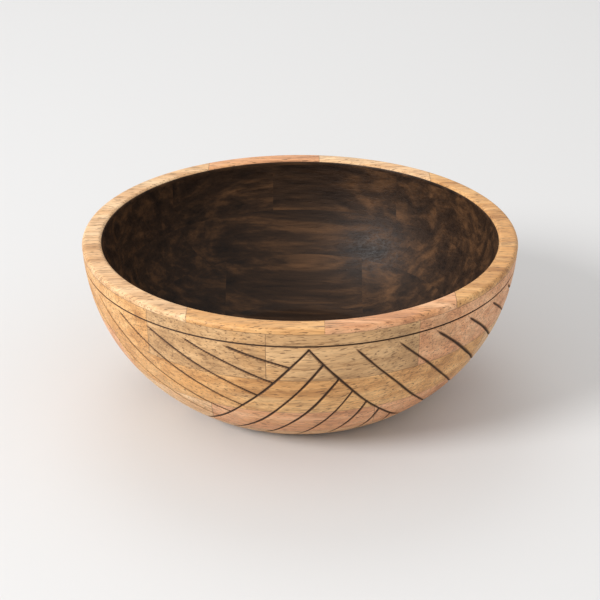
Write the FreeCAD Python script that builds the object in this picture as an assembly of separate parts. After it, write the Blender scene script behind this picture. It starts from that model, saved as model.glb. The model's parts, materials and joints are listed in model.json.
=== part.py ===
import FreeCAD
import Part

import math
import os

from FreeCAD import Vector

# A turned wooden serving bowl, glued up from courses of blocks, with carved lines outside.
# Sizes are in millimetres. Z = 0 is the underside of the rubber feet, and -Y is the front.

# Driving sizes
rim_radius = 150.0
wood_height = 114.0
foot_radius = 82.5
rim_width = 13.5
floor_thickness = 14.0
floor_radius = 75.0
pad_thickness = 2.0

# Outer wall curve
belly_height = 1.13 * wood_height
curve_power = 2.56
curve_root = 1.17

# Inner wall curve
inner_reach = 1.02
inner_power = 1.985
inner_root = 1.514

# Rim
rim_edge_round = 3.0
rim_line_drop = 12.5
rim_line_width = 1.2
rim_line_depth = 1.0

# Carved lines
repeats = 3
first_apex_azimuth = -88.0
apex_gap = 2.5
line_width = 2.0
line_depth = 1.4
down_lines = 7
up_lines = 9
up_line_gap = 3.0
down_start_bend = 0.94
down_end_bend = 0.87
up_start_bend = 1.4
up_end_lead = 0.08
aim_height = 78.0
run_out = 3.0
slab_inward = 6.0
slab_outward = 45.0
blade_steps = 8

# Courses of the glued stack, as heights above the foot face
base_top = 16.0
lower_top = 44.0
middle_top = 75.0
upper_top = 110.0

# Glued joints between the blocks, as distances from the middle of the bowl
foot_front_joint = -34.0
foot_back_joint = 31.0
lower_left_joint = -57.0
lower_right_joint = 48.0
middle_front_joint = -76.0
middle_cross_joint = 12.0
middle_back_joint = 92.0
upper_left_joint = -96.0
upper_front_joint = -21.0
upper_right_joint = 74.0
slip_left_joint = -70.0
slip_front_joint = 15.0
slip_right_joint = 98.0

# Rubber feet and the plate in the middle of the base
pad_radius = 7.0
pad_circle_radius = 73.0
pad_edge_round = 0.5
pad_azimuths = (-90.0, 30.0, 150.0)
plate_radius = 12.0
plate_thickness = 1.0
plate_ring_radius = 9.5
plate_ring_width = 0.8
plate_ring_depth = 0.3

# Workings
chip_volume = 5.0
beyond = 200.0
profile_steps = 14
profile_crowding = 1.6
halvings = 40


def outer_radius(height):
    """Radius of the outside of the wall at a height above the foot face."""
    share = min(max(height / belly_height, 0.0), 1.0)
    bulge = (1.0 - (1.0 - share) ** curve_power) ** (1.0 / curve_root)
    top_share = wood_height / belly_height
    top_bulge = (1.0 - (1.0 - top_share) ** curve_power) ** (1.0 / curve_root)
    return foot_radius + (rim_radius - foot_radius) * bulge / top_bulge


def point(radius, azimuth, height):
    """Point in the part's frame, from an azimuth in degrees and a height above the foot face."""
    angle = math.radians(azimuth)
    return Vector(radius * math.cos(angle), radius * math.sin(angle), height + pad_thickness)


def profile_point(radius, height):
    """Point of the turned profile, in the plane that is later turned around the Z axis."""
    return Vector(radius, 0.0, height + pad_thickness)


def spline_edge(points):
    """Smooth curve through a row of points."""
    curve = Part.BSplineCurve()
    curve.interpolate(points)
    return curve.toShape()


def line_edge(start, end):
    """Straight edge between two points."""
    return Part.LineSegment(start, end).toShape()


def revolve_edges(edges):
    """Solid turned once around the Z axis from a closed outline."""
    wire = Part.Wire(edges)
    face = Part.Face(wire)
    return face.revolve(Vector(0.0, 0.0, 0.0), Vector(0.0, 0.0, 1.0), 360.0)


def outer_points(inset, top):
    """Points down the outside of the wall, moved inwards by inset, from top to the foot face."""
    points = []
    for step in range(profile_steps + 1):
        share = 1.0 - step / profile_steps
        height = top * share ** profile_crowding
        points.append(profile_point(outer_radius(height) - inset, height))
    return points


def inner_points(bottom, top):
    """Points up the inside of the wall, from the edge of the flat floor to the rim."""
    inner_rim = rim_radius - rim_width
    top_bulge = (1.0 - (1.0 - 1.0 / inner_reach) ** inner_power) ** (1.0 / inner_root)
    points = []
    for step in range(profile_steps + 1):
        share = (step / profile_steps) ** profile_crowding
        height = bottom + (top - bottom) * share
        bulge = (1.0 - (1.0 - share / inner_reach) ** inner_power) ** (1.0 / inner_root)
        points.append(profile_point(floor_radius + (inner_rim - floor_radius) * bulge / top_bulge, height))
    return points


def turned_bowl():
    """The plain turned shape: outer wall, rounded rim, inside and foot face."""
    shoulder = wood_height - rim_edge_round
    inner_rim = rim_radius - rim_width
    outer = outer_points(0.0, shoulder)
    inner = inner_points(floor_thickness, shoulder)
    turn = rim_edge_round * (1.0 - math.sqrt(0.5))
    outer_start = outer[0]
    top_outer = profile_point(rim_radius - rim_edge_round, wood_height)
    top_inner = profile_point(inner_rim + rim_edge_round, wood_height)
    inner_end = inner[-1]
    outer_mid = profile_point(rim_radius - turn, wood_height - turn)
    inner_mid = profile_point(inner_rim + turn, wood_height - turn)
    floor_centre = profile_point(0.0, floor_thickness)
    foot_centre = profile_point(0.0, 0.0)
    edges = [
        spline_edge(outer),
        line_edge(outer[-1], foot_centre),
        line_edge(foot_centre, floor_centre),
        line_edge(floor_centre, inner[0]),
        spline_edge(inner),
        Part.Arc(inner_end, inner_mid, top_inner).toShape(),
        line_edge(top_inner, top_outer),
        Part.Arc(top_outer, outer_mid, outer_start).toShape(),
    ]
    return revolve_edges(edges)


def rim_line_cutter():
    """Ring that cuts the turned line below the rim."""
    height = wood_height - rim_line_drop
    radius = outer_radius(height)
    low = Vector(0.0, 0.0, height + pad_thickness - rim_line_width / 2.0)
    wide = Part.makeCylinder(radius + beyond, rim_line_width, low)
    core = Part.makeCylinder(radius - rim_line_depth, rim_line_width, low)
    return wide.cut(core)


def wall_rise(base, outward):
    """Distance from a point inside the bowl, along a direction, to the outside of the wall."""
    low = -slab_inward
    high = slab_outward
    for _ in range(halvings):
        middle = (low + high) / 2.0
        here = base.add(Vector(outward).multiply(middle))
        if math.hypot(here.x, here.y) < outer_radius(here.z - pad_thickness):
            low = middle
        else:
            high = middle
    return (low + high) / 2.0


def line_cutter(start, end, fades):
    """Curved blade that cuts one carved line between two points on the wall."""
    chord = end.sub(start)
    along = Vector(chord).normalize()
    aim = Vector(0.0, 0.0, aim_height + pad_thickness)
    across = along.cross(aim.sub(start)).normalize()
    outward = along.cross(across).normalize()
    length = chord.Length
    if not fades:
        length = length + run_out
    floor = []
    for step in range(blade_steps + 1):
        reach = length * step / blade_steps
        base = start.add(Vector(along).multiply(reach))
        rise = wall_rise(base, outward)
        depth = line_depth
        if fades and step == blade_steps:
            depth = -line_depth
        floor.append(base.add(Vector(outward).multiply(rise - depth)))
    clear = Vector(outward).multiply(slab_outward)
    far_start = start.add(clear)
    far_end = start.add(Vector(along).multiply(length)).add(clear)
    edges = [
        spline_edge(floor),
        line_edge(floor[-1], far_end),
        line_edge(far_end, far_start),
        line_edge(far_start, floor[0]),
    ]
    blade = Part.Face(Part.Wire(edges))
    blade.translate(Vector(across).multiply(-line_width / 2.0))
    return blade.extrude(Vector(across).multiply(line_width))


def boundary_azimuth(apex, height, side):
    """Azimuth at a height on the line that falls from a rim apex to a foot apex on one side."""
    half_repeat = 180.0 / repeats
    rim_height = wood_height - rim_line_drop - apex_gap
    top = point(outer_radius(rim_height), apex, rim_height)
    foot = point(foot_radius, apex + side * half_repeat, 0.0)
    aim = Vector(0.0, 0.0, aim_height + pad_thickness)
    normal = foot.sub(top).cross(aim.sub(top)).normalize()
    offset = normal.dot(top)
    low = 0.0
    high = half_repeat
    for _ in range(halvings):
        middle = (low + high) / 2.0
        here = point(outer_radius(height), apex + side * middle, height)
        below = (normal.dot(here) - offset) * (normal.dot(point(0.0, 0.0, 0.0)) - offset) > 0.0
        if below:
            low = middle
        else:
            high = middle
    return apex + side * (low + high) / 2.0


def boundary_lines(apex, rim_height, half_repeat):
    """The two long lines that fall from a rim apex to the foot apexes beside it."""
    top = point(outer_radius(rim_height), apex, rim_height)
    return [
        (top, point(foot_radius, apex - half_repeat, 0.0), False),
        (top, point(foot_radius, apex + half_repeat, 0.0), False),
    ]


def falling_lines(apex, rim_height, half_repeat):
    """Lines that leave the right boundary line and run down to the foot."""
    lines = []
    for index in range(1, down_lines + 1):
        share = index / (down_lines + 1.0)
        height = rim_height * (1.0 - share) ** down_start_bend
        azimuth = boundary_azimuth(apex, height, 1.0)
        start = point(outer_radius(height), azimuth, height)
        end_azimuth = apex - half_repeat + 2.0 * half_repeat * share ** down_end_bend
        lines.append((start, point(foot_radius, end_azimuth, 0.0), False))
    return lines


def rising_lines(apex, rim_height, half_repeat):
    """Lines that leave the left boundary line and fade out below the rim line."""
    end_height = wood_height - rim_line_drop - up_line_gap
    lines = []
    for index in range(1, up_lines + 1):
        share = index / (up_lines + 1.0)
        height = rim_height * (1.0 - share) ** up_start_bend
        azimuth = boundary_azimuth(apex, height, -1.0)
        start = point(outer_radius(height), azimuth, height)
        end_azimuth = apex - 2.0 * half_repeat * (up_end_lead + (1.0 - up_end_lead) * share)
        lines.append((start, point(outer_radius(end_height), end_azimuth, end_height), True))
    return lines


def carved_lines():
    """Start, end, and whether it fades out, for every carved line of all the repeats."""
    half_repeat = 180.0 / repeats
    rim_height = wood_height - rim_line_drop - apex_gap
    lines = []
    for repeat in range(repeats):
        apex = first_apex_azimuth + repeat * 2.0 * half_repeat
        lines += boundary_lines(apex, rim_height, half_repeat)
        lines += falling_lines(apex, rim_height, half_repeat)
        lines += rising_lines(apex, rim_height, half_repeat)
    return lines


def carved_bowl():
    """The turned bowl with its rim line and all its carved lines cut."""
    cutters = [rim_line_cutter()]
    for start, end, fades in carved_lines():
        cutters.append(line_cutter(start, end, fades))
    return turned_bowl().cut(cutters)


def block(bowl, course, x_range, y_range):
    """The wood of the bowl between two heights and inside a strip or corner of the plan."""
    low = course[0] + pad_thickness
    size = (x_range[1] - x_range[0], y_range[1] - y_range[0], course[1] - course[0])
    box = Part.makeBox(size[0], size[1], size[2], Vector(x_range[0], y_range[0], low))
    return bowl.common(box)


def foot_blocks():
    """Three boards across the foot."""
    course = (0.0, base_top)
    across = (-beyond, beyond)
    return [
        ("foot_board_front", course, across, (-beyond, foot_front_joint)),
        ("foot_board_middle", course, across, (foot_front_joint, foot_back_joint)),
        ("foot_board_back", course, across, (foot_back_joint, beyond)),
    ]


def lower_blocks():
    """A block on each side, and a front and a back block between them."""
    course = (base_top, lower_top)
    across = (-beyond, beyond)
    between = (lower_left_joint, lower_right_joint)
    return [
        ("lower_block_left", course, (-beyond, lower_left_joint), across),
        ("lower_block_front", course, between, (-beyond, 0.0)),
        ("lower_block_back", course, between, (0.0, beyond)),
        ("lower_block_right", course, (lower_right_joint, beyond), across),
    ]


def middle_blocks():
    """A block across the front, one across the back, and two on each side."""
    course = (lower_top, middle_top)
    across = (-beyond, beyond)
    left = (-beyond, 0.0)
    right = (0.0, beyond)
    front_half = (middle_front_joint, middle_cross_joint)
    back_half = (middle_cross_joint, middle_back_joint)
    return [
        ("middle_block_front", course, across, (-beyond, middle_front_joint)),
        ("middle_block_left", course, left, front_half),
        ("middle_block_right", course, right, front_half),
        ("middle_block_back_left", course, left, back_half),
        ("middle_block_back_right", course, right, back_half),
        ("middle_block_back", course, across, (middle_back_joint, beyond)),
    ]


def ring_blocks(stem, course, left_joint, front_joint, right_joint):
    """A block on each side, with two front and two back blocks between them."""
    across = (-beyond, beyond)
    front = (-beyond, 0.0)
    back = (0.0, beyond)
    left_part = (left_joint, front_joint)
    right_part = (front_joint, right_joint)
    return [
        (stem + "_left", course, (-beyond, left_joint), across),
        (stem + "_front_left", course, left_part, front),
        (stem + "_front_right", course, right_part, front),
        (stem + "_right", course, (right_joint, beyond), across),
        (stem + "_back_right", course, right_part, back),
        (stem + "_back_left", course, left_part, back),
    ]


def wood_blocks():
    """Name, course and plan range of every block of wood."""
    upper = (middle_top, upper_top)
    slip = (upper_top, wood_height)
    blocks = foot_blocks() + lower_blocks() + middle_blocks()
    blocks += ring_blocks("upper_block", upper, upper_left_joint, upper_front_joint, upper_right_joint)
    blocks += ring_blocks("rim_slip", slip, slip_left_joint, slip_front_joint, slip_right_joint)
    return blocks


def rubber_foot(azimuth):
    """Round rubber foot glued under the base, with a softened lower edge."""
    centre = point(pad_circle_radius, azimuth, -pad_thickness)
    pad = Part.makeCylinder(pad_radius, pad_thickness, centre)
    lower_edge = min(pad.Edges, key=lambda edge: edge.BoundBox.ZMax)
    return pad.makeFillet(pad_edge_round, [lower_edge])


def base_plate():
    """Round plate in the middle of the base, with one plain ring sunk in its face."""
    low = pad_thickness - plate_thickness
    plate = Part.makeCylinder(plate_radius, plate_thickness, Vector(0.0, 0.0, low))
    ring = Part.makeCylinder(plate_ring_radius, plate_ring_depth, Vector(0.0, 0.0, low))
    inside_ring = plate_ring_radius - plate_ring_width
    ring_hole = Part.makeCylinder(inside_ring, plate_ring_depth, Vector(0.0, 0.0, low))
    return plate.cut(ring.cut(ring_hole))


def write_part(name, shape):
    """Write one closed solid to its own file, without the chips that crossing lines cut free."""
    solids = [solid for solid in shape.Solids if solid.Volume > chip_volume]
    if len(solids) != 1 or not solids[0].isValid():
        raise ValueError("{} has {} solids".format(name, len(solids)))
    solids[0].exportStep("parts/" + name + ".step")
    print(name, round(solids[0].Volume / 1000.0, 1), "cm3", len(solids[0].Faces), "faces")


os.makedirs("parts", exist_ok=True)

bowl = carved_bowl()
for block_name, course, x_range, y_range in wood_blocks():
    write_part(block_name, block(bowl, course, x_range, y_range))

for number, azimuth in enumerate(pad_azimuths, start=1):
    write_part("rubber_foot_" + str(number), rubber_foot(azimuth))

write_part("base_plate", base_plate())
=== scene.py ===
import json
import math

import bmesh
import bpy
import numpy as np
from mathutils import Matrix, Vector


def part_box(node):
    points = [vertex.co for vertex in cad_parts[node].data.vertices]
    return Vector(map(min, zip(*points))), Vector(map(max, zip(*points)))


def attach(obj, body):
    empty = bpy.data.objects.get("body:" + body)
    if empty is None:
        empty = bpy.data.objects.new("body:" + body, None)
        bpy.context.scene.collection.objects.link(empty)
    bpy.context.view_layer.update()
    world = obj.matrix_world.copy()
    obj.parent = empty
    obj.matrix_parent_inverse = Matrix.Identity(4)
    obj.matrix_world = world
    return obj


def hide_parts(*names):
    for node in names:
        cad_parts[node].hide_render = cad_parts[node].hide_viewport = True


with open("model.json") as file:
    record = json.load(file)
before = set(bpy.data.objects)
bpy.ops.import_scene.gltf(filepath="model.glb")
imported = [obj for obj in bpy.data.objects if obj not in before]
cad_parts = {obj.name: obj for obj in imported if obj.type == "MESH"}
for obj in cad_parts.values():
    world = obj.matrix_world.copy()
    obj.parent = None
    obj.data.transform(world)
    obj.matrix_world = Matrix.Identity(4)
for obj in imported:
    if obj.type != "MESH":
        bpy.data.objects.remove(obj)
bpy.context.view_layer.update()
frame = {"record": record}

# A turned wooden bowl glued up from blocks. Shapes are worked out in millimetres above the foot
# face, and become metres in the part's frame when a mesh is made.

MM = 0.001
PAD = 2.0
FAR = 200.0

# Turned shape
RIM_RADIUS = 150.0
WOOD_HEIGHT = 114.0
FOOT_RADIUS = 82.5
RIM_WIDTH = 13.5
RIM_ROUND = 3.0
FLOOR_HEIGHT = 14.0
FLOOR_RADIUS = 75.0
SHOULDER = WOOD_HEIGHT - RIM_ROUND
BELLY_HEIGHT = 1.13 * WOOD_HEIGHT
CURVE_POWER = 2.56
CURVE_ROOT = 1.17
INNER_REACH = 1.02
INNER_POWER = 1.985
INNER_ROOT = 1.514

# Courses of the glued stack, from and to a height
BASE = (0.0, 16.0)
LOWER = (16.0, 44.0)
MIDDLE = (44.0, 75.0)
UPPER = (75.0, 110.0)
SLIP = (110.0, WOOD_HEIGHT)

# Glued joints between the blocks, as distances from the middle of the bowl
FOOT_FRONT_JOINT = -34.0
FOOT_BACK_JOINT = 31.0
LOWER_LEFT_JOINT = -57.0
LOWER_RIGHT_JOINT = 48.0
MIDDLE_FRONT_JOINT = -76.0
MIDDLE_CROSS_JOINT = 12.0
MIDDLE_BACK_JOINT = 92.0
UPPER_JOINTS = (-96.0, -21.0, 74.0)
SLIP_JOINTS = (-70.0, 15.0, 98.0)

# Turned line under the rim, and where the carved lines run
RIM_LINE_HEIGHT = WOOD_HEIGHT - 12.5
RIM_LINE_HALF = 0.72
RIM_LINE_DEPTH = 1.0
REPEATS = 3
HALF_REPEAT = 180.0 / REPEATS
FIRST_APEX = -88.0
APEX_HEIGHT = RIM_LINE_HEIGHT - 2.5
UP_END_HEIGHT = RIM_LINE_HEIGHT - 3.0
DOWN_LINES = 7
UP_LINES = 9
AIM_HEIGHT = 78.0
DOWN_START_BEND = 0.94
DOWN_END_BEND = 0.87
UP_START_BEND = 1.4
UP_END_LEAD = 0.08

# Section of a carved line, and how the hand that cut it wandered
LINE_HALF = 1.08
LINE_DEPTH = 1.35
FADE_LENGTH = 6.0
FADE_OVERRUN = 1.0
FADE_NARROWING = 0.55
FOOT_OVERRUN = 20.0
WEIGHT_SPREAD = 0.12
INWARD_REACH = 8.0
SIDE_REACH = 6.0
LONG_WANDER = 0.30
LONG_WANDER_RUN = 23.0
SHORT_WANDER = 0.14
SHORT_WANDER_RUN = 7.3
LONG_SWELL = 0.10
LONG_SWELL_RUN = 11.0
SHORT_SWELL = 0.05
SHORT_SWELL_RUN = 3.1
CARVING_SEED = 7

# How burnt the carving is, by distance from the middle of a line in half line widths
CHAR_FULL = 0.50
RIM_CHAR_FULL = 0.55
CHAR_END = 1.15
FADED_CHAR = 0.35

# Rubber feet and the plate in the middle of the base. A ring has an inner and outer radius and a depth.
FOOT_PAD_RADIUS = 7.0
FOOT_PAD_LOW_ROUND = 0.55
FOOT_PAD_HIGH_ROUND = 0.2
FOOT_PAD_RING = (4.6, 5.0, 0.12)
PLATE_RADIUS = 12.0
PLATE_THICKNESS = 1.0
PLATE_LOW_ROUND = 0.25
PLATE_HIGH_ROUND = 0.1
PLATE_RING = (8.7, 9.5, 0.3)
RING_SLOPE = 0.15

# How far below the rim's top the inside stain starts and is full
STAIN_START = 0.9
STAIN_FULL = 2.0

# Mesh density
SEGMENTS = 1440
SMALL_SEGMENTS = 96
SMALL_SHARP_ANGLE = 50.0
OUTER_STEP = 0.72
INNER_STEP = 3.6
RIM_LINE_STEP = 0.22
RIM_LINE_STEPS = 6
RIM_LINE_CLEAR = 1.6
FLAT_STEP = 7.0
FOOT_STEP = 8.0
FOOT_EDGE_STEP = 2.8
FLAT_ROWS = 10
RIM_ROUND_ROWS = 7
RIM_TOP_ROWS = 4
CURVE_SAMPLES = 1500
HALVINGS = 40

# Cutting the courses into blocks: margin in millimetres, distances in metres
CUT_MARGIN = 3.0
MERGE_DISTANCE = 1e-6
CUT_DISTANCE = 1e-7
FLAT_NORMAL = 0.9999

# Studio, in metres and degrees, with lamp power in watts
FLOOR_HALF = 6.0
SKY_STRENGTH = 0.74
KEY_POWER = 92.0
KEY_SPOT = (-2.45, -1.65, 1.9)
KEY_SIZE = 1.2
TOP_POWER = 14.0
TOP_SPOT = (-0.4, 1.8, 2.6)
TOP_SIZE = 1.8
LAMP_TARGET = Vector((0.0, 0.0, 0.05))
LENS = 88.0
SENSOR = 36.0
CAMERA_TILT = 26.2
CAMERA_DISTANCE = 1.04
CAMERA_TARGET_HEIGHT = 0.062


def bulge(share, power, root):
    """Share of the full outward sweep that the wall has made at a share of its height."""
    return (1.0 - (1.0 - share) ** power) ** (1.0 / root)


def outer_radius(height):
    """Radius of the outside of the wall at a height."""
    share = np.clip(np.asarray(height, float) / BELLY_HEIGHT, 0.0, 1.0)
    top = bulge(WOOD_HEIGHT / BELLY_HEIGHT, CURVE_POWER, CURVE_ROOT)
    return FOOT_RADIUS + (RIM_RADIUS - FOOT_RADIUS) * bulge(share, CURVE_POWER, CURVE_ROOT) / top


def inner_radius(height):
    """Radius of the inside of the wall at a height."""
    share = (np.asarray(height, float) - FLOOR_HEIGHT) / (SHOULDER - FLOOR_HEIGHT)
    share = np.clip(share, 0.0, 1.0) / INNER_REACH
    top = bulge(1.0 / INNER_REACH, INNER_POWER, INNER_ROOT)
    rim = RIM_RADIUS - RIM_WIDTH
    return FLOOR_RADIUS + (rim - FLOOR_RADIUS) * bulge(share, INNER_POWER, INNER_ROOT) / top


def even_heights(radius, low, high, step):
    """Heights from low to high that are evenly spaced along the curve."""
    fine = low + (high - low) * np.linspace(0.0, 1.0, CURVE_SAMPLES) ** 2
    across = radius(fine)
    length = np.concatenate([[0.0], np.cumsum(np.hypot(np.diff(fine), np.diff(across)))])
    count = max(1, int(math.ceil(length[-1] / step)))
    return np.interp(np.linspace(0.0, length[-1], count + 1), length, fine)


# ---------------------------------------------------------------- carving

def wall_point(azimuth, height):
    """Point on the outside of the wall, from an azimuth in degrees and a height."""
    angle = math.radians(azimuth)
    radius = float(outer_radius(height))
    return np.array([radius * math.cos(angle), radius * math.sin(angle), height])


AIM = np.array([0.0, 0.0, AIM_HEIGHT])


def boundary_azimuth(apex, height, side):
    """Azimuth at a height on the line that falls from a rim apex to a foot apex on one side."""
    top = wall_point(apex, APEX_HEIGHT)
    foot = wall_point(apex + side * HALF_REPEAT, 0.0)
    normal = np.cross(foot - top, AIM - top)
    inside = np.dot(normal, -top)
    low = 0.0
    high = HALF_REPEAT
    for _ in range(HALVINGS):
        middle = (low + high) / 2.0
        here = wall_point(apex + side * middle, height)
        if np.dot(normal, here - top) * inside > 0.0:
            low = middle
        else:
            high = middle
    return apex + side * (low + high) / 2.0


def falling_lines(apex):
    """Lines that leave the right boundary line and run down to the foot."""
    lines = []
    for index in range(1, DOWN_LINES + 1):
        share = index / (DOWN_LINES + 1.0)
        height = APEX_HEIGHT * (1.0 - share) ** DOWN_START_BEND
        start = wall_point(boundary_azimuth(apex, height, 1.0), height)
        end_azimuth = apex - HALF_REPEAT + 2.0 * HALF_REPEAT * share ** DOWN_END_BEND
        lines.append((start, wall_point(end_azimuth, 0.0), False))
    return lines


def rising_lines(apex):
    """Lines that leave the left boundary line and fade out below the rim line."""
    lines = []
    for index in range(1, UP_LINES + 1):
        share = index / (UP_LINES + 1.0)
        height = APEX_HEIGHT * (1.0 - share) ** UP_START_BEND
        start = wall_point(boundary_azimuth(apex, height, -1.0), height)
        end_azimuth = apex - 2.0 * HALF_REPEAT * (UP_END_LEAD + (1.0 - UP_END_LEAD) * share)
        lines.append((start, wall_point(end_azimuth, UP_END_HEIGHT), True))
    return lines


def carved_lines():
    """Start, end, and whether it fades out, for every carved line."""
    lines = []
    for repeat in range(REPEATS):
        apex = FIRST_APEX + repeat * 2.0 * HALF_REPEAT
        top = wall_point(apex, APEX_HEIGHT)
        lines.append((top, wall_point(apex - HALF_REPEAT, 0.0), False))
        lines.append((top, wall_point(apex + HALF_REPEAT, 0.0), False))
        lines += falling_lines(apex)
        lines += rising_lines(apex)
    return lines


def ripple(run, wavelength, phase):
    """Wave along a carved line."""
    return np.sin(run / wavelength + phase)


def smooth(low, high, value):
    """Eased step from 0 at low to 1 at high."""
    share = np.clip((value - low) / (high - low), 0.0, 1.0)
    return share * share * (3.0 - 2.0 * share)


def carve(points):
    """Depth cut at each point of the outer wall, and how burnt the wood is there."""
    depth = np.zeros(len(points))
    burnt = np.zeros(len(points))
    rng = np.random.default_rng(CARVING_SEED)
    for start, end, fades in carved_lines():
        phase = rng.uniform(0.0, 2.0 * math.pi, 4)
        weight = rng.uniform(1.0 - WEIGHT_SPREAD, 1.0 + WEIGHT_SPREAD)
        chord = end - start
        length = np.linalg.norm(chord)
        along = chord / length
        across = np.cross(along, AIM - start)
        across /= np.linalg.norm(across)
        outward = np.cross(along, across)
        offset = points - start
        near = (offset @ outward > -INWARD_REACH) & (np.abs(offset @ across) < SIDE_REACH)
        offset = offset[near]
        run = offset @ along
        wander = LONG_WANDER * ripple(run, LONG_WANDER_RUN, phase[0])
        wander = wander + SHORT_WANDER * ripple(run, SHORT_WANDER_RUN, phase[1])
        side = np.abs(offset @ across + wander)
        swell = 1.0 + LONG_SWELL * ripple(run, LONG_SWELL_RUN, phase[2])
        swell = swell + SHORT_SWELL * ripple(run, SHORT_SWELL_RUN, phase[3])
        half = LINE_HALF * weight * swell
        strength = np.ones(len(run))
        last = length
        if fades:
            strength = 1.0 - smooth(length - FADE_LENGTH, length + FADE_OVERRUN, run)
            half = half * (1.0 - FADE_NARROWING + FADE_NARROWING * strength)
        else:
            last = length + FOOT_OVERRUN
        past = np.where(run < 0.0, -run, np.where(run > last, run - last, 0.0))
        distance = np.hypot(side, past) / half
        cut = LINE_DEPTH * weight * strength * (1.0 - smooth(0.0, 1.0, distance))
        char = (1.0 - smooth(CHAR_FULL, CHAR_END, distance)) * np.minimum(1.0, FADED_CHAR + strength)
        depth[near] = np.maximum(depth[near], cut)
        burnt[near] = np.maximum(burnt[near], char)
    off_line = np.abs(points[:, 2] - RIM_LINE_HEIGHT) / RIM_LINE_HALF
    depth = np.maximum(depth, RIM_LINE_DEPTH * (1.0 - smooth(0.0, 1.0, off_line)))
    burnt = np.maximum(burnt, 1.0 - smooth(RIM_CHAR_FULL, CHAR_END, off_line))
    return depth, burnt


# ---------------------------------------------------------------- course meshes

def outer_rows(low, high):
    """(radius, height, kind) up the outside of one course."""
    heights = even_heights(outer_radius, low, high, OUTER_STEP)
    if low < RIM_LINE_HEIGHT < high:
        near = RIM_LINE_HEIGHT + np.arange(-RIM_LINE_STEPS, RIM_LINE_STEPS + 1) * RIM_LINE_STEP
        far = heights[np.abs(heights - RIM_LINE_HEIGHT) > RIM_LINE_CLEAR]
        heights = np.sort(np.concatenate([far, near]))
    return [(float(outer_radius(height)), float(height), "outer") for height in heights]


def inner_rows(low, high):
    """(radius, height, kind) down the inside of one course."""
    heights = even_heights(inner_radius, low, high, INNER_STEP)[::-1]
    return [(float(inner_radius(height)), float(height), "inner") for height in heights]


def rim_rows():
    """(radius, height, kind) over the rounded rim, from outside to inside."""
    turns = np.linspace(0.0, math.pi / 2.0, RIM_ROUND_ROWS + 1)[1:]
    centre_out = RIM_RADIUS - RIM_ROUND
    centre_in = RIM_RADIUS - RIM_WIDTH + RIM_ROUND
    rows = []
    for turn in turns:
        radius = centre_out + RIM_ROUND * math.cos(turn)
        rows.append((radius, SHOULDER + RIM_ROUND * math.sin(turn), "rim"))
    for share in np.linspace(0.0, 1.0, RIM_TOP_ROWS + 2)[1:-1]:
        rows.append((centre_out + (centre_in - centre_out) * share, WOOD_HEIGHT, "rim"))
    for turn in np.concatenate([[0.0], turns])[:-1]:
        radius = centre_in - RIM_ROUND * math.sin(turn)
        rows.append((radius, SHOULDER + RIM_ROUND * math.cos(turn), "edge"))
    return rows


def foot_rows():
    """(radius, height, kind) from the foot's edge to the middle of the base."""
    first = FOOT_RADIUS - FOOT_EDGE_STEP
    rows = [(first - FOOT_STEP * step, 0.0, "foot") for step in range(FLAT_ROWS)]
    return rows + [(0.0, 0.0, "foot")]


def floor_rows():
    """(radius, height, kind) from the edge of the inside floor to its middle."""
    rows = [(FLOOR_RADIUS - FLAT_STEP * step, FLOOR_HEIGHT, "inner") for step in range(1, FLAT_ROWS + 1)]
    return rows + [(0.0, FLOOR_HEIGHT, "inner")]


def lathe(rows, closed):
    """Points, quads, burn and stain of a shape turned from rows. Rows that aren't closed end on the axis."""
    radius = np.array([row[0] for row in rows])
    height = np.array([row[1] for row in rows])
    kinds = np.array([row[2] for row in rows])
    angle = np.linspace(0.0, 2.0 * math.pi, SEGMENTS, endpoint=False)
    count = len(rows)
    grid = np.zeros((count, SEGMENTS, 3))
    grid[:, :, 0] = radius[:, None] * np.cos(angle)[None]
    grid[:, :, 1] = radius[:, None] * np.sin(angle)[None]
    grid[:, :, 2] = height[:, None]
    points = grid.reshape(-1, 3)
    kind = np.repeat(kinds, SEGMENTS)
    outer = kind == "outer"
    depth = np.zeros(len(points))
    burnt = np.zeros(len(points))
    depth[outer], burnt[outer] = carve(points[outer])
    away = np.hypot(points[:, 0], points[:, 1])
    shrink = np.where(away > 0.0, (away - depth) / np.maximum(away, 1e-9), 1.0)
    points[:, 0] *= shrink
    points[:, 1] *= shrink
    stained = (kind == "inner").astype(float)
    edge = kind == "edge"
    stained[edge] = smooth(WOOD_HEIGHT - STAIN_START, WOOD_HEIGHT - STAIN_FULL, points[edge, 2])
    row = np.arange(count if closed else count - 1)
    column = np.arange(SEGMENTS)
    following = (column + 1) % SEGMENTS
    above = (row + 1) % count
    quads = np.stack([
        row[:, None] * SEGMENTS + column[None],
        row[:, None] * SEGMENTS + following[None],
        above[:, None] * SEGMENTS + following[None],
        above[:, None] * SEGMENTS + column[None],
    ], axis=2).reshape(-1, 4)
    return points, quads, burnt, stained


def course_shape(low, high):
    """The whole ring or disc of one course."""
    if low == 0.0:
        rows = floor_rows()[::-1] + inner_rows(FLOOR_HEIGHT, high)[::-1]
        rows += outer_rows(low, high)[::-1] + foot_rows()
        return lathe(rows[::-1], False)
    rows = outer_rows(low, min(high, SHOULDER))
    if high > SHOULDER:
        rows += rim_rows() + inner_rows(low, SHOULDER)
    else:
        rows += inner_rows(low, high)
    return lathe(rows, True)


def sharpen_flats(shaped, flats):
    """Smooth shading everywhere except at the edges of the glued faces and the foot face."""
    flat_faces = set()
    for face in shaped.faces:
        face.smooth = True
        centre = face.calc_center_median()
        for axis, level in flats:
            if abs(face.normal[axis]) > FLAT_NORMAL and abs(centre[axis] - level) < MERGE_DISTANCE:
                flat_faces.add(face.index)
    for edge in shaped.edges:
        if any(face.index in flat_faces for face in edge.link_faces):
            edge.smooth = False


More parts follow.
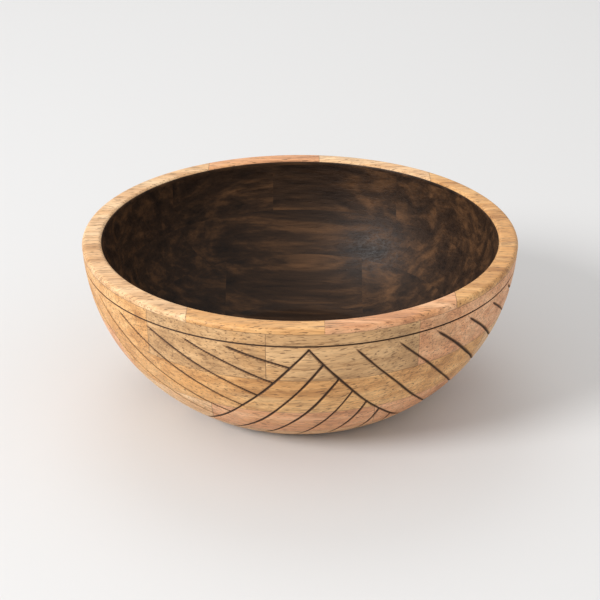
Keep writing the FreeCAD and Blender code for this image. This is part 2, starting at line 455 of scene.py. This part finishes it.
def cut_away(shaped, limit, axis, sign):
    """Cut everything past one plane off a closed shape, and close the cut."""
    normal = Vector((0.0, 0.0, 0.0))
    normal[axis] = sign
    spot = Vector((0.0, 0.0, 0.0))
    spot[axis] = limit * MM
    everything = shaped.verts[:] + shaped.edges[:] + shaped.faces[:]
    made = bmesh.ops.bisect_plane(
        shaped, geom=everything, dist=CUT_DISTANCE, plane_co=spot, plane_no=normal, clear_outer=True)
    edges = [item for item in made["geom_cut"] if isinstance(item, bmesh.types.BMEdge)]
    filled = bmesh.ops.holes_fill(shaped, edges=edges, sides=0)["faces"]
    bmesh.ops.triangulate(shaped, faces=filled, ngon_method="EAR_CLIP")


def part_mesh(shape, x_range, y_range, name):
    """Mesh of the quads of a course that lie in or near a strip or corner of the plan."""
    points, quads, burnt, stained = shape
    x = points[quads, 0]
    y = points[quads, 1]
    inside = (x.max(1) > x_range[0] - CUT_MARGIN) & (x.min(1) < x_range[1] + CUT_MARGIN)
    inside &= (y.max(1) > y_range[0] - CUT_MARGIN) & (y.min(1) < y_range[1] + CUT_MARGIN)
    chosen = quads[inside]
    used, renumbered = np.unique(chosen, return_inverse=True)
    chosen = renumbered.reshape(-1, 4)
    mesh = bpy.data.meshes.new(name)
    placed = points[used] * MM
    placed[:, 2] += PAD * MM
    mesh.from_pydata(placed.tolist(), [], chosen.tolist())
    for label, values in (("burnt", burnt[used]), ("stained", stained[used])):
        layer = mesh.attributes.new(label, "FLOAT", "POINT")
        layer.data.foreach_set("value", values.astype(np.float32))
    return mesh


def cut_block(shape, x_range, y_range, flats, name):
    """Mesh of the part of a course that lies in a strip or corner of the plan, closed on its cut faces."""
    mesh = part_mesh(shape, x_range, y_range, name)
    shaped = bmesh.new()
    shaped.from_mesh(mesh)
    bmesh.ops.remove_doubles(shaped, verts=shaped.verts, dist=MERGE_DISTANCE)
    for axis, limits in enumerate((x_range, y_range)):
        for limit, sign in zip(limits, (-1.0, 1.0)):
            if abs(limit) < FAR:
                cut_away(shaped, limit, axis, sign)
    bmesh.ops.recalc_face_normals(shaped, faces=shaped.faces)
    shaped.faces.index_update()
    sharpen_flats(shaped, flats)
    shaped.to_mesh(mesh)
    shaped.free()
    return mesh


# ---------------------------------------------------------------- materials

class Nodes:
    """Short ways to add shader nodes to one material."""

    def __init__(self, name):
        self.material = bpy.data.materials.new(name)
        self.material.use_nodes = True
        self.tree = self.material.node_tree
        self.tree.nodes.clear()
        self.shader = self.add("ShaderNodeBsdfPrincipled")
        output = self.add("ShaderNodeOutputMaterial")
        self.link(self.shader.outputs[0], output.inputs[0])

    def add(self, kind):
        return self.tree.nodes.new(kind)

    def link(self, source, target):
        self.tree.links.new(source, target)

    def put(self, value, socket):
        """Link an output to a socket, or set the socket to a plain value."""
        if hasattr(value, "is_output"):
            self.link(value, socket)
        else:
            socket.default_value = value

    def shade(self, name, value):
        """Give a value or an output to one of the shader's own sockets."""
        self.put(value, self.shader.inputs[name])

    def position(self):
        return self.add("ShaderNodeTexCoord").outputs["Object"]

    def math(self, operation, first, second):
        node = self.add("ShaderNodeMath")
        node.operation = operation
        self.put(first, node.inputs[0])
        self.put(second, node.inputs[1])
        return node.outputs[0]

    def blend(self, first, second, share):
        """Two values added together, with a share of the first and the rest of the second."""
        rest = self.math("MULTIPLY", second, 1.0 - share)
        return self.math("ADD", self.math("MULTIPLY", first, share), rest)

    def between(self, value, low, high, out_low=0.0, out_high=1.0):
        """Eased change from out_low to out_high as the value goes from low to high."""
        node = self.add("ShaderNodeMapRange")
        node.interpolation_type = "SMOOTHSTEP"
        self.put(value, node.inputs["Value"])
        node.inputs["From Min"].default_value = low
        node.inputs["From Max"].default_value = high
        node.inputs["To Min"].default_value = out_low
        node.inputs["To Max"].default_value = out_high
        return node.outputs["Result"]

    def mix(self, share, first, second, blend="MIX"):
        node = self.add("ShaderNodeMix")
        node.data_type = "RGBA"
        node.blend_type = blend
        self.put(share, node.inputs[0])
        self.put(first, node.inputs[6])
        self.put(second, node.inputs[7])
        return node.outputs[2]

    def attribute(self, name):
        node = self.add("ShaderNodeAttribute")
        node.attribute_name = name
        return node.outputs["Fac"]

    def turned(self, vector, location, rotation):
        """Coordinates moved and turned."""
        node = self.add("ShaderNodeMapping")
        self.link(vector, node.inputs["Vector"])
        node.inputs["Location"].default_value = location
        node.inputs["Rotation"].default_value = rotation
        return node.outputs[0]

    def noise(self, vector, scale, detail, roughness=0.55, distortion=0.0):
        node = self.add("ShaderNodeTexNoise")
        self.link(vector, node.inputs["Vector"])
        node.inputs["Scale"].default_value = scale
        node.inputs["Detail"].default_value = detail
        node.inputs["Roughness"].default_value = roughness
        node.inputs["Distortion"].default_value = distortion
        return node.outputs["Fac"]

    def long_noise(self, vector, along, across, through, detail, roughness, distortion):
        """Noise with its own count per metre along, across and through a board."""
        node = self.add("ShaderNodeMapping")
        self.link(vector, node.inputs["Vector"])
        node.inputs["Scale"].default_value = (along, across, through)
        return self.noise(node.outputs[0], 1.0, detail, roughness, distortion)

    def ramp(self, value, stops):
        """Colours at places along a value."""
        node = self.add("ShaderNodeValToRGB")
        self.link(value, node.inputs[0])
        elements = node.color_ramp.elements
        while len(elements) < len(stops):
            elements.new(0.5)
        for element, (spot, colour) in zip(elements, stops):
            element.position = spot
            element.color = (*colour, 1.0)
        return node.outputs[0]

    def bump(self, height, strength, distance):
        node = self.add("ShaderNodeBump")
        node.inputs["Strength"].default_value = strength
        node.inputs["Distance"].default_value = distance
        self.link(height, node.inputs["Height"])
        return node.outputs[0]


# Dark, middle and light colour of the figure of each wood
TONES = {
    "wood_light": ((0.50, 0.275, 0.125), (0.74, 0.455, 0.235), (0.87, 0.61, 0.36)),
    "wood_gold": ((0.41, 0.190, 0.062), (0.65, 0.345, 0.130), (0.79, 0.48, 0.21)),
    "wood_rose": ((0.45, 0.195, 0.088), (0.69, 0.345, 0.170), (0.82, 0.48, 0.27)),
    "wood_olive": ((0.36, 0.200, 0.086), (0.56, 0.335, 0.155), (0.69, 0.44, 0.22)),
}
GOLDEN_PATCH = (0.70, 0.34, 0.100, 1.0)
GREY_PATCH = (0.46, 0.31, 0.170, 1.0)
GLUE = (0.10, 0.05, 0.022, 1.0)
PORE = (0.12, 0.056, 0.023, 1.0)
SCORCH = (0.16, 0.062, 0.020, 1.0)
CHAR = (0.030, 0.015, 0.008, 1.0)
FIBRE_STOPS = [
    (0.30, (0.46, 0.37, 0.29)),
    (0.47, (0.92, 0.90, 0.88)),
    (0.66, (1.18, 1.15, 1.10)),
]
STAIN_STOPS = [
    (0.36, (0.0150, 0.0080, 0.0050)),
    (0.50, (0.040, 0.0205, 0.0108)),
    (0.66, (0.125, 0.060, 0.0260)),
]
RUBBER_STOPS = [(0.3, (0.016, 0.018, 0.020)), (0.7, (0.032, 0.035, 0.038))]
PLATE_STOPS = [(0.3, (0.010, 0.012, 0.018)), (0.7, (0.020, 0.023, 0.034))]

# How much the boards differ: grain tilt in radians, shift in metres, and the first board's seed
GRAIN_TILT = 0.07
BOARD_SHIFT = 3.0
WOOD_SEED = 40


def board_position(nodes, place, seed):
    """Coordinates inside one board, a little tilted and shifted so that no two boards match."""
    rng = np.random.default_rng(seed)
    tilt = tuple(rng.uniform(-GRAIN_TILT, GRAIN_TILT, 3))
    shift = tuple(rng.uniform(-BOARD_SHIFT, BOARD_SHIFT, 3))
    return nodes.turned(place, shift, tilt)


def outside_colour(nodes, tone, figure, cloud, fibre_tint, pore):
    """Oiled wood: figure, patches, fibre and open pores."""
    dark, middle, light = TONES[tone]
    colour = nodes.ramp(figure, [(0.34, dark), (0.48, middle), (0.62, light)])
    colour = nodes.mix(nodes.between(cloud, 0.56, 0.74, 0.0, 0.40), colour, GOLDEN_PATCH)
    colour = nodes.mix(nodes.between(cloud, 0.28, 0.44, 0.35, 0.0), colour, GREY_PATCH)
    colour = nodes.mix(0.80, colour, fibre_tint, "MULTIPLY")
    return nodes.mix(nodes.math("MULTIPLY", pore, 0.70), colour, PORE)


def glue_line(nodes, place, joints, stained):
    """Thin line along the nearest glued face of a block, faint under the inside stain."""
    axes = nodes.add("ShaderNodeSeparateXYZ")
    nodes.link(place, axes.inputs[0])
    nearest = None
    for axis, level in joints:
        gap = nodes.math("ABSOLUTE", nodes.math("SUBTRACT", axes.outputs[axis], level), 0.0)
        nearest = gap if nearest is None else nodes.math("MINIMUM", nearest, gap)
    line = nodes.between(nearest, 0.00008, 0.00036, 1.0, 0.0)
    return nodes.math("MULTIPLY", line, nodes.between(stained, 0.2, 0.8, 1.0, 0.12))


def burnt_colour(nodes, colour, burnt, ragged):
    """Scorched brown at the sides of a carved line and char at its bottom."""
    scorch = nodes.math("ADD", burnt, ragged)
    colour = nodes.mix(nodes.between(scorch, 0.14, 0.62, 0.0, 0.65), colour, SCORCH)
    return nodes.mix(nodes.between(scorch, 0.50, 1.0, 0.0, 0.90), colour, CHAR)


def stained_colour(nodes, board, streaks, fibre_tint):
    """Dark walnut stain with swirling grain, for the inside of the bowl."""
    swirl = nodes.long_noise(board, 6.0, 44.0, 44.0, 4.0, 0.52, 1.8)
    walnut = nodes.blend(swirl, streaks, 0.60)
    return nodes.mix(0.7, nodes.ramp(walnut, STAIN_STOPS), fibre_tint, "MULTIPLY")


def wood_material(name, tone, seed, joints):
    """Oiled wood with grain along X, burnt carving, dark stain inside and thin glue lines."""
    nodes = Nodes(name)
    place = nodes.position()
    board = board_position(nodes, place, seed)
    streaks = nodes.long_noise(board, 7.0, 105.0, 150.0, 5.0, 0.62, 0.5)
    bands = nodes.long_noise(board, 3.0, 24.0, 34.0, 3.0, 0.5, 1.1)
    fibre = nodes.long_noise(board, 42.0, 520.0, 640.0, 4.0, 0.68, 0.3)
    pores = nodes.long_noise(board, 150.0, 1050.0, 1050.0, 1.0, 0.5, 0.0)
    cloud = nodes.long_noise(board, 14.0, 22.0, 22.0, 3.0, 0.55, 0.8)
    fibre_tint = nodes.ramp(fibre, FIBRE_STOPS)
    pore = nodes.between(pores, 0.60, 0.68)
    ragged = nodes.math("MULTIPLY", nodes.math("SUBTRACT", fibre, 0.5), 0.45)
    burnt = nodes.attribute("burnt")
    stained = nodes.attribute("stained")
    line = glue_line(nodes, place, joints, stained)

    colour = outside_colour(nodes, tone, nodes.blend(streaks, bands, 0.6), cloud, fibre_tint, pore)
    line_share = nodes.math("MULTIPLY", line, nodes.between(cloud, 0.30, 0.60, 0.25, 0.75))
    colour = nodes.mix(line_share, colour, GLUE)
    colour = burnt_colour(nodes, colour, burnt, ragged)
    soaked = nodes.math("ADD", stained, nodes.math("MULTIPLY", ragged, 0.6))
    stain = stained_colour(nodes, board, streaks, fibre_tint)
    nodes.shade("Base Color", nodes.mix(nodes.between(soaked, 0.35, 0.75), colour, stain))

    rough = nodes.between(fibre, 0.30, 0.70, 0.46, 0.62)
    rough = nodes.math("ADD", rough, nodes.math("MULTIPLY", burnt, 0.20))
    nodes.shade("Roughness", nodes.math("SUBTRACT", rough, nodes.math("MULTIPLY", stained, 0.06)))
    nodes.shade("Specular IOR Level", nodes.between(stained, 0.2, 0.8, 0.38, 0.20))

    relief = nodes.math("SUBTRACT", nodes.math("MULTIPLY", fibre, 0.6), nodes.math("MULTIPLY", pore, 0.5))
    char = nodes.math("MULTIPLY", nodes.noise(place, 900.0, 2.0), nodes.math("MULTIPLY", burnt, 0.9))
    relief = nodes.math("SUBTRACT", nodes.math("ADD", relief, char), nodes.math("MULTIPLY", line, 0.5))
    nodes.shade("Normal", nodes.bump(relief, 0.45, 0.00025))
    return nodes.material


def rubber_material():
    """Black rubber with a fine speck."""
    nodes = Nodes("rubber_black")
    place = nodes.position()
    speck = nodes.noise(place, 1600.0, 3.0, 0.6)
    nodes.shade("Base Color", nodes.ramp(speck, RUBBER_STOPS))
    nodes.shade("Roughness", nodes.between(nodes.noise(place, 420.0, 2.0), 0.3, 0.7, 0.62, 0.82))
    nodes.shade("Normal", nodes.bump(speck, 0.4, 0.0002))
    return nodes.material


def plate_material():
    """Dark blue-black satin plate."""
    nodes = Nodes("plate_dark_satin")
    place = nodes.position()
    cloud = nodes.noise(place, 260.0, 4.0, 0.6)
    nodes.shade("Base Color", nodes.ramp(cloud, PLATE_STOPS))
    nodes.shade("Roughness", nodes.between(cloud, 0.3, 0.7, 0.30, 0.45))
    nodes.shade("Normal", nodes.bump(nodes.noise(place, 2400.0, 2.0), 0.25, 0.0001))
    return nodes.material


# ---------------------------------------------------------------- pieces

ACROSS = (-FAR, FAR)


def foot_blocks():
    """Three boards across the foot, as node, course, x range and y range."""
    return [
        ("foot_board_front", BASE, ACROSS, (-FAR, FOOT_FRONT_JOINT)),
        ("foot_board_middle", BASE, ACROSS, (FOOT_FRONT_JOINT, FOOT_BACK_JOINT)),
        ("foot_board_back", BASE, ACROSS, (FOOT_BACK_JOINT, FAR)),
    ]


def lower_blocks():
    """A block on each side, and a front and a back block between them."""
    between = (LOWER_LEFT_JOINT, LOWER_RIGHT_JOINT)
    return [
        ("lower_block_left", LOWER, (-FAR, LOWER_LEFT_JOINT), ACROSS),
        ("lower_block_front", LOWER, between, (-FAR, 0.0)),
        ("lower_block_back", LOWER, between, (0.0, FAR)),
        ("lower_block_right", LOWER, (LOWER_RIGHT_JOINT, FAR), ACROSS),
    ]


def middle_blocks():
    """A block across the front, one across the back, and two on each side."""
    front_half = (MIDDLE_FRONT_JOINT, MIDDLE_CROSS_JOINT)
    back_half = (MIDDLE_CROSS_JOINT, MIDDLE_BACK_JOINT)
    return [
        ("middle_block_front", MIDDLE, ACROSS, (-FAR, MIDDLE_FRONT_JOINT)),
        ("middle_block_left", MIDDLE, (-FAR, 0.0), front_half),
        ("middle_block_right", MIDDLE, (0.0, FAR), front_half),
        ("middle_block_back_left", MIDDLE, (-FAR, 0.0), back_half),
        ("middle_block_back_right", MIDDLE, (0.0, FAR), back_half),
        ("middle_block_back", MIDDLE, ACROSS, (MIDDLE_BACK_JOINT, FAR)),
    ]


def ring_blocks(stem, course, joints):
    """A block on each side, with two front and two back blocks between them."""
    left_joint, front_joint, right_joint = joints
    return [
        (stem + "_left", course, (-FAR, left_joint), ACROSS),
        (stem + "_front_left", course, (left_joint, front_joint), (-FAR, 0.0)),
        (stem + "_front_right", course, (front_joint, right_joint), (-FAR, 0.0)),
        (stem + "_right", course, (right_joint, FAR), ACROSS),
        (stem + "_back_right", course, (front_joint, right_joint), (0.0, FAR)),
        (stem + "_back_left", course, (left_joint, front_joint), (0.0, FAR)),
    ]


SLOT_OF = {row["node"]: row["material_slot"] for row in frame["record"]["subparts"]}


def show(name, mesh, material, node):
    """Put a finished mesh in the scene in place of its CAD node."""
    piece = bpy.data.objects.new(name, mesh)
    bpy.context.collection.objects.link(piece)
    mesh.materials.append(material)
    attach(piece, "root")
    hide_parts(node)
    return piece


def block_joints(course, x_range, y_range):
    """Axis and level in metres of every glued face that a block can show."""
    joints = [(2, (level + PAD) * MM) for level in course if 0.0 < level < WOOD_HEIGHT]
    joints += [(0, limit * MM) for limit in x_range if 0.0 < abs(limit) < FAR]
    joints += [(1, limit * MM) for limit in y_range if 0.0 < abs(limit) < FAR]
    return joints


def wood_blocks():
    """Every block of wood, cut from the turned shape of its course."""
    shapes = {course: course_shape(*course) for course in (BASE, LOWER, MIDDLE, UPPER, SLIP)}
    blocks = foot_blocks() + lower_blocks() + middle_blocks()
    blocks += ring_blocks("upper_block", UPPER, UPPER_JOINTS) + ring_blocks("rim_slip", SLIP, SLIP_JOINTS)
    for number, (node, course, x_range, y_range) in enumerate(blocks):
        name = node + "_wood"
        joints = block_joints(course, x_range, y_range)
        bottom = (2, (PAD + course[0]) * MM)
        mesh = cut_block(shapes[course], x_range, y_range, joints + [bottom], name)
        show(name, mesh, wood_material(name, SLOT_OF[node], WOOD_SEED + number, joints), node)


def turned_mesh(name, profile, centre):
    """Small turned piece from (radius, height) pairs that start and end on the axis."""
    shaped = bmesh.new()
    rings = []
    for radius, height in profile:
        if radius == 0.0:
            rings.append([shaped.verts.new((centre[0], centre[1], height * MM))])
            continue
        ring = []
        for step in range(SMALL_SEGMENTS):
            angle = 2.0 * math.pi * step / SMALL_SEGMENTS
            x = centre[0] + radius * MM * math.cos(angle)
            y = centre[1] + radius * MM * math.sin(angle)
            ring.append(shaped.verts.new((x, y, height * MM)))
        rings.append(ring)
    for first, second in zip(rings, rings[1:]):
        for step in range(SMALL_SEGMENTS):
            after = (step + 1) % SMALL_SEGMENTS
            if len(first) == 1:
                shaped.faces.new((first[0], second[after], second[step]))
            elif len(second) == 1:
                shaped.faces.new((first[step], first[after], second[0]))
            else:
                shaped.faces.new((first[step], first[after], second[after], second[step]))
    bmesh.ops.recalc_face_normals(shaped, faces=shaped.faces)
    mesh = bpy.data.meshes.new(name)
    shaped.to_mesh(mesh)
    shaped.free()
    mesh.shade_smooth()
    mesh.set_sharp_from_angle(angle=math.radians(SMALL_SHARP_ANGLE))
    return mesh


def rounded_disc(radius, low, high, low_round, high_round, ring):
    """Profile of a disc with rounded edges and a sunk ring, from the middle of its underside to its top."""
    inner, outer, depth = ring
    profile = [
        (0.0, low),
        (inner - RING_SLOPE, low),
        (inner, low + depth),
        (outer, low + depth),
        (outer + RING_SLOPE, low),
    ]
    low_centre = low + low_round
    for turn in np.linspace(0.0, math.pi / 2.0, 6):
        reach = radius - low_round + low_round * math.sin(turn)
        profile.append((reach, low_centre - low_round * math.cos(turn)))
    high_centre = high - high_round
    for turn in np.linspace(0.0, math.pi / 2.0, 4):
        reach = radius - high_round + high_round * math.cos(turn)
        profile.append((reach, high_centre + high_round * math.sin(turn)))
    profile.append((0.0, high))
    return profile


def rubber_feet():
    """Three rubber feet, each with a shallow ring pressed in its face."""
    rubber = rubber_material()
    profile = rounded_disc(FOOT_PAD_RADIUS, 0.0, PAD, FOOT_PAD_LOW_ROUND, FOOT_PAD_HIGH_ROUND, FOOT_PAD_RING)
    for number in (1, 2, 3):
        node = "rubber_foot_" + str(number)
        low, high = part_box(node)
        centre = ((low.x + high.x) / 2.0, (low.y + high.y) / 2.0)
        show(node + "_pad", turned_mesh(node + "_pad", profile, centre), rubber, node)


def base_plate():
    """Round plate in the middle of the base, with one plain ring sunk in its face."""
    low = PAD - PLATE_THICKNESS
    profile = rounded_disc(PLATE_RADIUS, low, PAD, PLATE_LOW_ROUND, PLATE_HIGH_ROUND, PLATE_RING)
    mesh = turned_mesh("base_plate_disc", profile, (0.0, 0.0))
    show("base_plate_disc", mesh, plate_material(), "base_plate")


# ---------------------------------------------------------------- studio

def studio_floor():
    """Plain pale floor."""
    mesh = bpy.data.meshes.new("floor")
    corners = [(x * FLOOR_HALF, y * FLOOR_HALF, 0.0) for x, y in ((-1, -1), (1, -1), (1, 1), (-1, 1))]
    mesh.from_pydata(corners, [], [(0, 1, 2, 3)])
    floor = bpy.data.objects.new("floor", mesh)
    bpy.context.collection.objects.link(floor)
    nodes = Nodes("floor_pale")
    nodes.shade("Base Color", (0.70, 0.70, 0.70, 1.0))
    nodes.shade("Roughness", 0.85)
    mesh.materials.append(nodes.material)


def sky():
    """Even white light from all round."""
    world = bpy.data.worlds.new("studio")
    bpy.context.scene.world = world
    world.use_nodes = True
    background = world.node_tree.nodes["Background"]
    background.inputs["Color"].default_value = (1.0, 0.99, 0.98, 1.0)
    background.inputs["Strength"].default_value = SKY_STRENGTH


def lamp(name, spot, size, power):
    """Round soft light that faces the bowl."""
    data = bpy.data.lights.new(name, "AREA")
    data.shape = "DISK"
    data.size = size
    data.energy = power
    light = bpy.data.objects.new(name, data)
    light.location = spot
    light.rotation_euler = (LAMP_TARGET - Vector(spot)).to_track_quat("-Z", "Y").to_euler()
    bpy.context.collection.objects.link(light)


def camera():
    """Camera in front of the bowl, looking down at it."""
    data = bpy.data.cameras.new("camera")
    data.lens = LENS
    data.sensor_width = SENSOR
    eye = bpy.data.objects.new("camera", data)
    bpy.context.collection.objects.link(eye)
    target = Vector((0.0, 0.0, CAMERA_TARGET_HEIGHT))
    tilt = math.radians(CAMERA_TILT)
    eye.location = target + Vector((0.0, -math.cos(tilt), math.sin(tilt))) * CAMERA_DISTANCE
    eye.rotation_euler = (target - eye.location).to_track_quat("-Z", "Y").to_euler()
    bpy.context.scene.camera = eye


wood_blocks()
rubber_feet()
base_plate()
studio_floor()
sky()
lamp("key", KEY_SPOT, KEY_SIZE, KEY_POWER)
lamp("top", TOP_SPOT, TOP_SIZE, TOP_POWER)
camera()
bpy.context.scene.view_settings.view_transform = "Standard"

bpy.context.view_layer.update()
